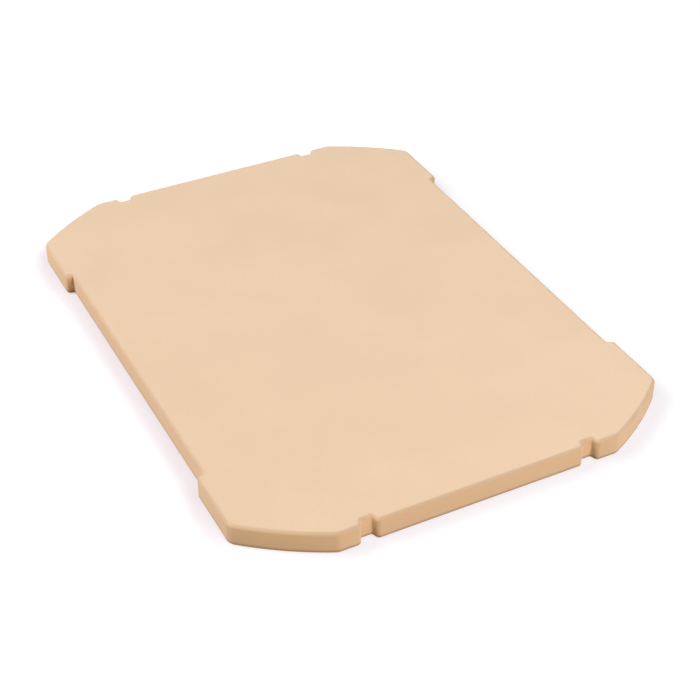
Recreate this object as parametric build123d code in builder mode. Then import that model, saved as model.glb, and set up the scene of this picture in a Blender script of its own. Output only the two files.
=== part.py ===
from build123d import *
from math import sqrt
import os

# A rectangular pizza stone: one slab of pressed and fired cordierite.
# Length runs along X, width along Y. The underside rests on Z = 0, with the origin at its centre.
# The slab is the same in all four quarters, so one quarter of its outline is drawn and mirrored.

# Overall size, over the two short sides and over the lobes at the corners
stone_length = 482.6
stone_width = 356.8
stone_thickness = 19.1

# Edges: a rolled rim round the baking surface, and a smaller roll round the foot
rim_radius = 3.0
foot_radius = 2.5

# Corner cuts: all four are arcs of one circle round the middle, so the slab drops into a round oven.
# The cut is what that circle takes off a square corner, along the diagonal.
corner_cut = 32.9
cut_blend_radius = 14.0

# Long sides: the wall is set back between the lobes, with a flared step at each end
setback_length = 283.0
setback_depth = 5.8
setback_flare = 1.6
setback_floor_radius = 1.5

# Notches: two in each short side, one beside each corner cut, their cheeks flared towards the mouth
notch_from_cut = 24.1
notch_mouth = 13.2
notch_depth = 5.8
notch_flare = 2.1
notch_floor_radius = 1.2

# Outer corners of the outline are a little rounder than the rim, so the rim can roll round them
corner_land = 0.2
outer_corner_radius = rim_radius + corner_land

# Slab
half_length = stone_length / 2
half_width = stone_width / 2
corner_circle_radius = sqrt(half_length**2 + half_width**2) - corner_cut
cut_on_short_side = (half_length, sqrt(corner_circle_radius**2 - half_length**2))
cut_on_long_side = (sqrt(corner_circle_radius**2 - half_width**2), half_width)
setback_line = half_width - setback_depth
notch_floor = half_length - notch_depth
notch_middle = cut_on_short_side[1] - notch_from_cut
near_cheek = notch_middle - notch_mouth / 2
far_cheek = notch_middle + notch_mouth / 2

with BuildPart() as pizza_stone:
    with BuildSketch() as outline:
        with BuildLine():
            # Short side, from its middle past the notch to the corner cut
            FilletPolyline(
                (0, 0),
                (half_length, 0),
                (half_length, near_cheek),
                (notch_floor, near_cheek + notch_flare),
                (notch_floor, far_cheek - notch_flare),
                (half_length, far_cheek),
                cut_on_short_side,
                radius=[
                    0,
                    outer_corner_radius,
                    notch_floor_radius,
                    notch_floor_radius,
                    outer_corner_radius,
                ],
            )
            # Corner cut
            RadiusArc(cut_on_short_side, cut_on_long_side, -corner_circle_radius)
            # Long side, from the lobe down the step to its middle
            FilletPolyline(
                cut_on_long_side,
                (setback_length / 2 + setback_flare, half_width),
                (setback_length / 2, setback_line),
                (0, setback_line),
                (0, 0),
                radius=[outer_corner_radius, setback_floor_radius, 0],
            )
        make_face()
        # The cut runs softly into both sides
        for cut_end in (cut_on_short_side, cut_on_long_side):
            fillet(outline.vertices().sort_by_distance(cut_end)[0], radius=cut_blend_radius)
        mirror(about=Plane.YZ)
        mirror(about=Plane.XZ)
    extrude(amount=stone_thickness)
    fillet(pizza_stone.faces().sort_by(Axis.Z)[-1].edges(), radius=rim_radius)
    fillet(pizza_stone.faces().sort_by(Axis.Z)[0].edges(), radius=foot_radius)

pizza_stone.part.label = "pizza_stone"

os.makedirs("parts", exist_ok=True)
export_step(pizza_stone.part, "parts/pizza_stone.step")
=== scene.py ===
import bpy
from math import atan2, hypot, radians, sqrt, tan
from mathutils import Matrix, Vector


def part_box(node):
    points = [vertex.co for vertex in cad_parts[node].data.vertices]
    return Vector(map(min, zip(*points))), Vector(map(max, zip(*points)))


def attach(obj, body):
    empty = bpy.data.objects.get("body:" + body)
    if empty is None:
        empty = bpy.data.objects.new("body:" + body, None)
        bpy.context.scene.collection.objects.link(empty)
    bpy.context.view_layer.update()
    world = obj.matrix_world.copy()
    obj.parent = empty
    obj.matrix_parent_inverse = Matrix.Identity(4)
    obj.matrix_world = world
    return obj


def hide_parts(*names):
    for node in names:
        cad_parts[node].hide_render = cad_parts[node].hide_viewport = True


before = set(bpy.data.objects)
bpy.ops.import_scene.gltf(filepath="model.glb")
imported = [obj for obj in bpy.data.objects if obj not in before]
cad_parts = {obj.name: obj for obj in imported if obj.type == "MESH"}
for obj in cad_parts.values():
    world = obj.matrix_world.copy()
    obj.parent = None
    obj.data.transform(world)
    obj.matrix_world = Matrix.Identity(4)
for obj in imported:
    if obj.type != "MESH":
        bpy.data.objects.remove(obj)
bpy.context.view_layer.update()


# The stone
# One slab of cordierite, pressed in a steel die and fired, never glazed. The die gives it its outline:
# corners cut to one round, long sides set back between the lobes, and two notches in each short side.
# Nothing is fixed to it, and it lies loose on its flat underside.
_, slab_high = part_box("pizza_stone")
half_length = slab_high.x
half_width = slab_high.y
thickness = slab_high.z

rim_radius = 0.0030
foot_radius = 0.0025
corner_cut = 0.0329
cut_blend_radius = 0.0080
setback_length = 0.2830
setback_depth = 0.0058
setback_flare = 0.0016
setback_floor_radius = 0.0015
notch_from_cut = 0.0241
notch_mouth = 0.0132
notch_depth = 0.0058
notch_flare = 0.0021
notch_floor_radius = 0.0012
lobe_corner_radius = 0.0032

corner_circle_radius = hypot(half_length, half_width) - corner_cut
cut_on_short_side = sqrt(corner_circle_radius**2 - half_length**2)
cut_on_long_side = sqrt(corner_circle_radius**2 - half_width**2)
notch_middle = cut_on_short_side - notch_from_cut
near_cheek = notch_middle - notch_mouth / 2
far_cheek = notch_middle + notch_mouth / 2
notch_floor = half_length - notch_depth
step_corner = setback_length / 2 + setback_flare
setback_line = half_width - setback_depth

# How finely the curves are drawn, and what still counts as near, straight or level
circle_sides = 720
corner_steps = 8
rim_steps = 10
foot_steps = 4
nearness = 0.00002
cleared_reach = 1.5
straight = radians(0.1)
level_share = 0.9999
strip_corners = 4


def pick_corners(stone, wanted):
    """In edit mode, selects only the corners of the mesh whose place passes the test."""
    bpy.ops.mesh.select_mode(type="VERT")
    bpy.ops.mesh.select_all(action="DESELECT")
    bpy.ops.object.mode_set(mode="OBJECT")
    for corner in stone.data.vertices:
        corner.select = wanted(corner.co)
    bpy.ops.object.mode_set(mode="EDIT")


def pick_faces(stone, wanted):
    """In edit mode, selects only the faces that pass the test."""
    bpy.ops.mesh.select_mode(type="FACE")
    bpy.ops.mesh.select_all(action="DESELECT")
    bpy.ops.object.mode_set(mode="OBJECT")
    for face in stone.data.polygons:
        face.select = wanted(face)
    bpy.ops.object.mode_set(mode="EDIT")


def cut_across(place, direction, **kept):
    """Cuts the whole sheet along a straight line."""
    bpy.ops.mesh.select_all(action="SELECT")
    bpy.ops.mesh.bisect(plane_co=place, plane_no=direction, **kept)


def round_corner(stone, x, y, radius, turn):
    """Rounds one corner of the flat outline, where the outline turns by that angle."""
    reach = radius * tan(turn / 2)
    # Corners of the drawn circle that lie in the way of the round go first
    pick_corners(stone, lambda p: nearness < hypot(p.x - x, p.y - y) < cleared_reach * reach)
    bpy.ops.mesh.dissolve_verts()
    pick_corners(stone, lambda p: hypot(p.x - x, p.y - y) <= nearness)
    bpy.ops.mesh.bevel(offset=reach, segments=corner_steps, affect="VERTICES", clamp_overlap=False)


# A round sheet, as wide as the round that the corners lie on, is cut down to one quarter of the slab
bpy.ops.object.select_all(action="DESELECT")
bpy.ops.mesh.primitive_circle_add(vertices=circle_sides, radius=corner_circle_radius, fill_type="NGON")
stone = bpy.context.object
stone.name = "stone_slab"
stone.data.name = "stone_slab"
bpy.ops.object.mode_set(mode="EDIT")
cut_across((half_length, 0, 0), (1, 0, 0), clear_outer=True)
cut_across((0, half_width, 0), (0, 1, 0), clear_outer=True)
cut_across((0, 0, 0), (1, 0, 0), clear_inner=True)
cut_across((0, 0, 0), (0, 1, 0), clear_inner=True)

# Notch: its corners are cut into the short side, and its floor is pushed in
for place in (near_cheek, near_cheek + notch_flare, far_cheek - notch_flare, far_cheek):
    cut_across((0, place, 0), (0, 1, 0))
pick_corners(
    stone,
    lambda p: p.x > half_length - nearness
    and near_cheek + notch_flare / 2 < p.y < far_cheek - notch_flare / 2,
)
bpy.ops.transform.translate(value=(-notch_depth, 0, 0))

# Long side: the stretch between the lobes is pushed in
for place in (setback_length / 2, step_corner):
    cut_across((place, 0, 0), (1, 0, 0))
pick_corners(stone, lambda p: p.y > half_width - nearness and p.x < setback_length / 2 + nearness)
bpy.ops.transform.translate(value=(0, -setback_depth, 0))

# The lines across the sheet go again, and the corners of the outline are rounded
bpy.ops.mesh.select_all(action="SELECT")
bpy.ops.mesh.dissolve_limited(angle_limit=straight)
cheek_turn = atan2(notch_depth, notch_flare)
step_turn = atan2(setback_depth, setback_flare)
for x, y, radius, turn in (
    (half_length, near_cheek, lobe_corner_radius, cheek_turn),
    (notch_floor, near_cheek + notch_flare, notch_floor_radius, cheek_turn),
    (notch_floor, far_cheek - notch_flare, notch_floor_radius, cheek_turn),
    (half_length, far_cheek, lobe_corner_radius, cheek_turn),
    (half_length, cut_on_short_side, cut_blend_radius, atan2(cut_on_short_side, half_length)),
    (cut_on_long_side, half_width, cut_blend_radius, atan2(cut_on_long_side, half_width)),
    (step_corner, half_width, lobe_corner_radius, step_turn),
    (setback_length / 2, setback_line, setback_floor_radius, step_turn),
):
    round_corner(stone, x, y, radius, turn)
bpy.ops.object.mode_set(mode="OBJECT")

# The other three quarters are its mirror images
quarters = stone.modifiers.new("quarters", "MIRROR")
quarters.use_axis = (True, True, False)
quarters.merge_threshold = nearness
bpy.ops.object.modifier_apply(modifier=quarters.name)
bpy.ops.object.mode_set(mode="EDIT")
bpy.ops.mesh.select_all(action="SELECT")
bpy.ops.mesh.dissolve_limited(angle_limit=straight)

# The sheet is drawn up to the slab's thickness, and its rim and foot are rolled over
bpy.ops.mesh.select_all(action="SELECT")
bpy.ops.mesh.extrude_region_move(TRANSFORM_OT_translate={"value": (0, 0, thickness)})
bpy.ops.mesh.select_all(action="SELECT")
bpy.ops.mesh.normals_make_consistent(inside=False)
for level, radius, steps in ((thickness, rim_radius, rim_steps), (0, foot_radius, foot_steps)):
    pick_faces(stone, lambda f: abs(f.center.z - level) < nearness)
    bpy.ops.mesh.region_to_loop()
    bpy.ops.mesh.bevel(offset=radius, segments=steps, affect="EDGES", clamp_overlap=False)

# The rolled edges are smooth to the eye. The face and the underside, the only level faces with more
# corners than a strip of a roll has, stay quite flat
bpy.ops.object.mode_set(mode="OBJECT")
bpy.ops.object.shade_smooth()
bpy.ops.object.mode_set(mode="EDIT")
pick_faces(stone, lambda f: abs(f.normal.z) > level_share and len(f.vertices) > strip_corners)
bpy.ops.mesh.faces_shade_flat()
bpy.ops.object.mode_set(mode="OBJECT")

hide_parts("pizza_stone")
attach(stone, "root")


def linear(code):
    """A colour written as sRGB hex, such as F0D2B4, as the linear colour that a shader takes."""
    levels = [int(code[k : k + 2], 16) / 255 for k in (0, 2, 4)]
    return [v / 12.92 if v <= 0.04045 else ((v + 0.055) / 1.055) ** 2.4 for v in levels] + [1]


def add_node(tree, kind, inputs=None, **settings):
    """Adds a node, with its settings, and fills its inputs with values or other nodes' outputs."""
    node = tree.nodes.new(kind)
    for name, value in settings.items():
        setattr(node, name, value)
    for name, value in (inputs or {}).items():
        if isinstance(value, bpy.types.NodeSocket):
            tree.links.new(value, node.inputs[name])
        else:
            node.inputs[name].default_value = value
    return node


# Cordierite, pressed from dry grains and fired without a glaze: a warm cream, quite matt. The face
# under the punch is closed and smooth. Shade is painted on: a darker tone on the rolled rim and on the
# shoulder of every edge, a deeper, warmer tone on the flanks, and a dark line along the foot. Uneven
# firing leaves faint clouds and patches. A few iron specks and pinholes are scattered all over.
top_tone = linear("F3D7B8")
cloud_tone = linear("F0D4B5")
# Painted shade: the rim tone darkens the rolled rim, the flank tone deepens and warms the sides
rim_shade_tone = linear("E4C6A6")
flank_shade_tone = linear("EDC7A1")
grain_tone = linear("DDBE98")
foot_shade_tone = linear("B08760")
# Painted shade: the dark line along the foot
speck_tone = linear("AF8759")
cloud_width = 0.055
patch_width = 0.009
# The real grains are about 0.3 mm and the specks 0.5 mm, too fine to show, so they are drawn larger
grain_width = 0.0013
speck_radius = 0.0006
speck_spacing = 0.011
pinhole_radius = 0.0004
pinhole_spacing = 0.007
# Painted shade: how far in an edge's shoulder is darkened, and how high the foot's dark line goes
shoulder_shade_reach = 0.008
foot_shade_height = 0.0045
unevenness = 0.00008
grain_depth = 0.00002
pinhole_depth = 0.0001

# How strongly each tone shows where it is fullest
# Painted shade on edge shoulders and along the foot
shoulder_shade_strength = 0.3
foot_shade_strength = 0.6
patch_strength = 0.15
grain_strength = 0.15
speck_strength = 0.25
# Of the places that the pattern offers, this share stays without a speck
bare_share = 0.65

# Where each tone starts, and where it is fullest: in the noise, in how level the surface lies, or as
# a share of the foot's line or of a spot's radius
cloud_start, cloud_full = 0.35, 0.65
patch_start, patch_full = 0.4, 0.7
grain_start, grain_full = 0.5, 0.75
# The rim, flank, shoulder and foot tones are painted shade
rim_start, rim_full = 0.99, 0.9
flank_start, flank_full = 0.7, 0.2
shoulder_shade_start, shoulder_shade_full = 1.0, 0.88
foot_shade_core = 0.4
speck_core = 0.4
pinhole_core = 0.3
# Between smooth and coarse grains the roughness lies between these two
grain_low, grain_high = 0.3, 0.7
smoothest, roughest = 0.84, 0.96
cordierite_ior = 1.54
sheen_share = 0.1
body_roughness = 0.6

cordierite = bpy.data.materials.new("fired_cordierite")
cordierite.use_nodes = True
tree = cordierite.node_tree
tree.nodes.clear()
spot = add_node(tree, "ShaderNodeTexCoord")
clouds = add_node(
    tree,
    "ShaderNodeTexNoise",
    {"Vector": spot.outputs["Object"], "Scale": 1 / cloud_width, "Detail": 3.0},
)
patches = add_node(
    tree,
    "ShaderNodeTexNoise",
    {"Vector": spot.outputs["Object"], "Scale": 1 / patch_width, "Detail": 2.0},
)
grains = add_node(
    tree,
    "ShaderNodeTexNoise",
    {"Vector": spot.outputs["Object"], "Scale": 1 / grain_width, "Detail": 2.0, "Roughness": 0.7},
)
specks = add_node(
    tree,
    "ShaderNodeTexVoronoi",
    {"Vector": spot.outputs["Object"], "Scale": 1 / speck_spacing},
)
pinholes = add_node(
    tree,
    "ShaderNodeTexVoronoi",
    {"Vector": spot.outputs["Object"], "Scale": 1 / pinhole_spacing},
)
spot_parts = add_node(tree, "ShaderNodeSeparateXYZ", {"Vector": spot.outputs["Object"]})
slope = add_node(tree, "ShaderNodeSeparateXYZ", {"Vector": spot.outputs["Normal"]})
levelness = add_node(tree, "ShaderNodeMath", {0: slope.outputs["Z"]}, operation="ABSOLUTE")

# Painted shade near every edge: how much the surface there differs from one that is rounded more widely
true_surface = add_node(tree, "ShaderNodeNewGeometry")
rounder_surface = add_node(tree, "ShaderNodeBevel", {"Radius": shoulder_shade_reach}, samples=8)
likeness = add_node(
    tree,
    "ShaderNodeVectorMath",
    {0: true_surface.outputs["Normal"], 1: rounder_surface.outputs["Normal"]},
    operation="DOT_PRODUCT",
)

# How much of each tone a spot gets
shares = {}
for name, pattern, start, full, strength, fade in (
    ("cloud", clouds.outputs["Fac"], cloud_start, cloud_full, 1.0, "LINEAR"),
    # These three rows paint shade: on edge shoulders, on the rolled rim and on the flanks
    ("shoulder_shade", likeness.outputs["Value"], shoulder_shade_start, shoulder_shade_full, shoulder_shade_strength, "LINEAR"),
    ("rim", levelness.outputs["Value"], rim_start, rim_full, 1.0, "SMOOTHSTEP"),
    ("flank", levelness.outputs["Value"], flank_start, flank_full, 1.0, "SMOOTHSTEP"),
    ("patch", patches.outputs["Fac"], patch_start, patch_full, patch_strength, "LINEAR"),
    ("grain", grains.outputs["Fac"], grain_start, grain_full, grain_strength, "LINEAR"),
    # Painted shade: a dark line along the foot
    ("foot", spot_parts.outputs["Z"], foot_shade_height, foot_shade_core * foot_shade_height, foot_shade_strength, "SMOOTHSTEP"),
    (
        "speck",
        specks.outputs["Distance"],
        speck_radius / speck_spacing,
        speck_core * speck_radius / speck_spacing,
        speck_strength,
        "LINEAR",
    ),
    (
        "pinhole",
        pinholes.outputs["Distance"],
        pinhole_radius / pinhole_spacing,
        pinhole_core * pinhole_radius / pinhole_spacing,
        1.0,
        "SMOOTHSTEP",
    ),
):
    share = add_node(
        tree,
        "ShaderNodeMapRange",
        {"Value": pattern, "From Min": start, "From Max": full, "To Max": strength},
        interpolation_type=fade,
    )
    shares[name] = share.outputs["Result"]

speck_choice = add_node(tree, "ShaderNodeSeparateColor", {"Color": specks.outputs["Color"]})
chosen = add_node(
    tree,
    "ShaderNodeMath",
    {0: speck_choice.outputs["Red"], 1: bare_share},
    operation="GREATER_THAN",
)
chosen_speck = add_node(
    tree,
    "ShaderNodeMath",
    {0: shares["speck"], 1: chosen.outputs["Value"]},
    operation="MULTIPLY",
)

# The tones are laid over each other, from the broadest to the finest
tone = top_tone
for share, colour in (
    (shares["cloud"], cloud_tone),
    # Painted shade on edge shoulders, the rolled rim and the flanks
    (shares["shoulder_shade"], rim_shade_tone),
    (shares["rim"], rim_shade_tone),
    (shares["flank"], flank_shade_tone),
    (shares["patch"], cloud_tone),
    (shares["grain"], grain_tone),
    # Painted shade: the dark line along the foot
    (shares["foot"], foot_shade_tone),
    (chosen_speck.outputs["Value"], speck_tone),
):
    laid = add_node(tree, "ShaderNodeMix", {"Factor": share, 6: tone, 7: colour}, data_type="RGBA")
    tone = laid.outputs[2]

# Relief: the slab's unevenness, its grain, and the pinholes in it
relief = None
for pattern, depth, inward in (
    (clouds.outputs["Fac"], unevenness, False),
    (grains.outputs["Fac"], grain_depth, False),
    (shares["pinhole"], pinhole_depth, True),
):
    bump = add_node(
        tree, "ShaderNodeBump", {"Height": pattern, "Distance": depth, "Strength": 1.0}, invert=inward
    )
    if relief is not None:
        tree.links.new(relief, bump.inputs["Normal"])
    relief = bump.outputs["Normal"]

roughness = add_node(
    tree,
    "ShaderNodeMapRange",
    {
        "Value": grains.outputs["Fac"],
        "From Min": grain_low,
        "From Max": grain_high,
        "To Min": smoothest,
        "To Max": roughest,
    },
)
body = add_node(
    tree,
    "ShaderNodeBsdfPrincipled",
    {
        "Base Color": tone,
        "Roughness": roughness.outputs["Result"],
        "Normal": relief,
        "IOR": cordierite_ior,
        "Specular IOR Level": sheen_share,
        "Diffuse Roughness": body_roughness,
    },
)
add_node(tree, "ShaderNodeOutputMaterial", {"Surface": body.outputs["BSDF"]})
stone.data.materials.clear()
stone.data.materials.append(cordierite)


# The table top
# A sheet of white paper on a table, bleached to the eye nearly to white. The light that it throws back
# on the stone is weak and warm. Close round the stone a faint shade stays on it, which is deeper along
# the left long side and on round the far left corner.
bounced_paper = linear("897C62")
seen_paper = linear("9A989B")
bleach = 0.80
contact_tone = linear("F5F0F2")
deep_contact_tone = linear("E3DADD")
contact_reach = 0.022
# How open the paper lies to the room where the shade starts, and where it is fullest
shade_start, shade_full = 0.92, 0.83
# Which way from the middle of the stone the deeper shade lies, and how far out it starts and is fullest
deep_side = (-0.45, -0.9, 0.0)
deep_start, deep_full = 0.05, 0.1
table_size = 20

bpy.ops.object.select_all(action="DESELECT")
bpy.ops.mesh.primitive_plane_add(size=table_size)
table = bpy.context.object
table.name = "table_top"
paper = bpy.data.materials.new("white_paper")
paper.use_nodes = True
tree = paper.node_tree
tree.nodes.clear()


def seen_by_eye(tree):
    """1 where the camera, or a reflection or a see-through surface, looks at the material."""
    path = add_node(tree, "ShaderNodeLightPath")
    mirrored = add_node(
        tree,
        "ShaderNodeMath",
        {0: path.outputs["Is Camera Ray"], 1: path.outputs["Is Glossy Ray"]},
        operation="ADD",
    )
    seen = add_node(
        tree,
        "ShaderNodeMath",
        {0: mirrored.outputs["Value"], 1: path.outputs["Is Transmission Ray"]},
        operation="ADD",
        use_clamp=True,
    )
    return seen.outputs["Value"]


nearby = add_node(
    tree,
    "ShaderNodeAmbientOcclusion",
    {"Color": (1, 1, 1, 1), "Distance": contact_reach},
    samples=8,
)
shade_share = add_node(
    tree,
    "ShaderNodeMapRange",
    {"Value": nearby.outputs["AO"], "From Min": shade_start, "From Max": shade_full},
)
ground = add_node(tree, "ShaderNodeNewGeometry")
sideways = add_node(
    tree,
    "ShaderNodeVectorMath",
    {0: ground.outputs["Position"], 1: deep_side},
    operation="DOT_PRODUCT",
)
deep_share = add_node(
    tree,
    "ShaderNodeMapRange",
    {"Value": sideways.outputs["Value"], "From Min": deep_start, "From Max": deep_full},
)
shade_tone = add_node(
    tree,
    "ShaderNodeMix",
    {"Factor": deep_share.outputs["Result"], 6: contact_tone, 7: deep_contact_tone},
    data_type="RGBA",
)
contact = add_node(
    tree,
    "ShaderNodeMix",
    {"Factor": shade_share.outputs["Result"], 6: (1, 1, 1, 1), 7: shade_tone.outputs[2]},
    data_type="RGBA",
)
bleached = add_node(tree, "ShaderNodeEmission", {"Color": contact.outputs[2], "Strength": bleach})
shaded = add_node(tree, "ShaderNodeBsdfDiffuse", {"Color": seen_paper})
to_eye = add_node(
    tree,
    "ShaderNodeAddShader",
    {0: shaded.outputs["BSDF"], 1: bleached.outputs["Emission"]},
)
to_stone = add_node(tree, "ShaderNodeBsdfDiffuse", {"Color": bounced_paper})
either = add_node(
    tree,
    "ShaderNodeMixShader",
    {0: seen_by_eye(tree), 1: to_stone.outputs["BSDF"], 2: to_eye.outputs["Shader"]},
)
add_node(tree, "ShaderNodeOutputMaterial", {"Surface": either.outputs["Shader"]})
table.data.materials.append(paper)


# The studio
# A room that is white to the eye and gives no light itself. Five soft boxes light the stone: a large
# one high on the left, a low one far out on the left, a high one and a low warm one on the right, and
# a small bluish one behind on the right. Each row gives a box's place, width, power and colour.
world = bpy.data.worlds.new("studio")
bpy.context.scene.world = world
world.use_nodes = True
tree = world.node_tree
tree.nodes.clear()
white = add_node(tree, "ShaderNodeBackground", {"Color": (1, 1, 1, 1), "Strength": seen_by_eye(tree)})
add_node(tree, "ShaderNodeOutputWorld", {"Surface": white.outputs["Background"]})

for name, place, width, power, colour in (
    ("left_box", (-0.75, -1.75, 1.95), 1.5, 41.6, (1.0, 0.995, 0.98)),
    ("low_left_box", (-2.10, -2.95, 0.95), 1.2, 104.0, (0.85, 0.9, 1.0)),
    ("right_box", (1.45, 0.44, 1.80), 1.3, 20.0, (1.0, 1.0, 1.0)),
    ("back_right_box", (1.30, 1.09, 0.60), 0.6, 4.0, (0.2, 0.4, 1.0)),
    ("low_right_box", (2.56, 0.42, 0.75), 0.9, 29.6, (1.0, 0.97, 0.8)),
):
    bpy.ops.object.light_add(type="AREA", location=place)
    lamp = bpy.context.object
    lamp.name = name
    lamp.data.shape = "SQUARE"
    lamp.data.size = width
    lamp.data.energy = power
    lamp.data.color = colour
    lamp.rotation_euler = (-lamp.location).to_track_quat("-Z", "Y").to_euler()


# The camera
# It stands where the photograph was taken from, with a long lens that looks down on the near corner.
camera_place = (0.93531, -0.45705, 0.75153)
camera_turn = (radians(53.278), radians(0.175), radians(63.008))
lens_length = 80.256
film_width = 36

bpy.ops.object.camera_add(location=camera_place, rotation=camera_turn)
camera = bpy.context.object
camera.data.lens = lens_length
camera.data.sensor_width = film_width
bpy.context.scene.camera = camera
bpy.context.scene.view_settings.view_transform = "Standard"
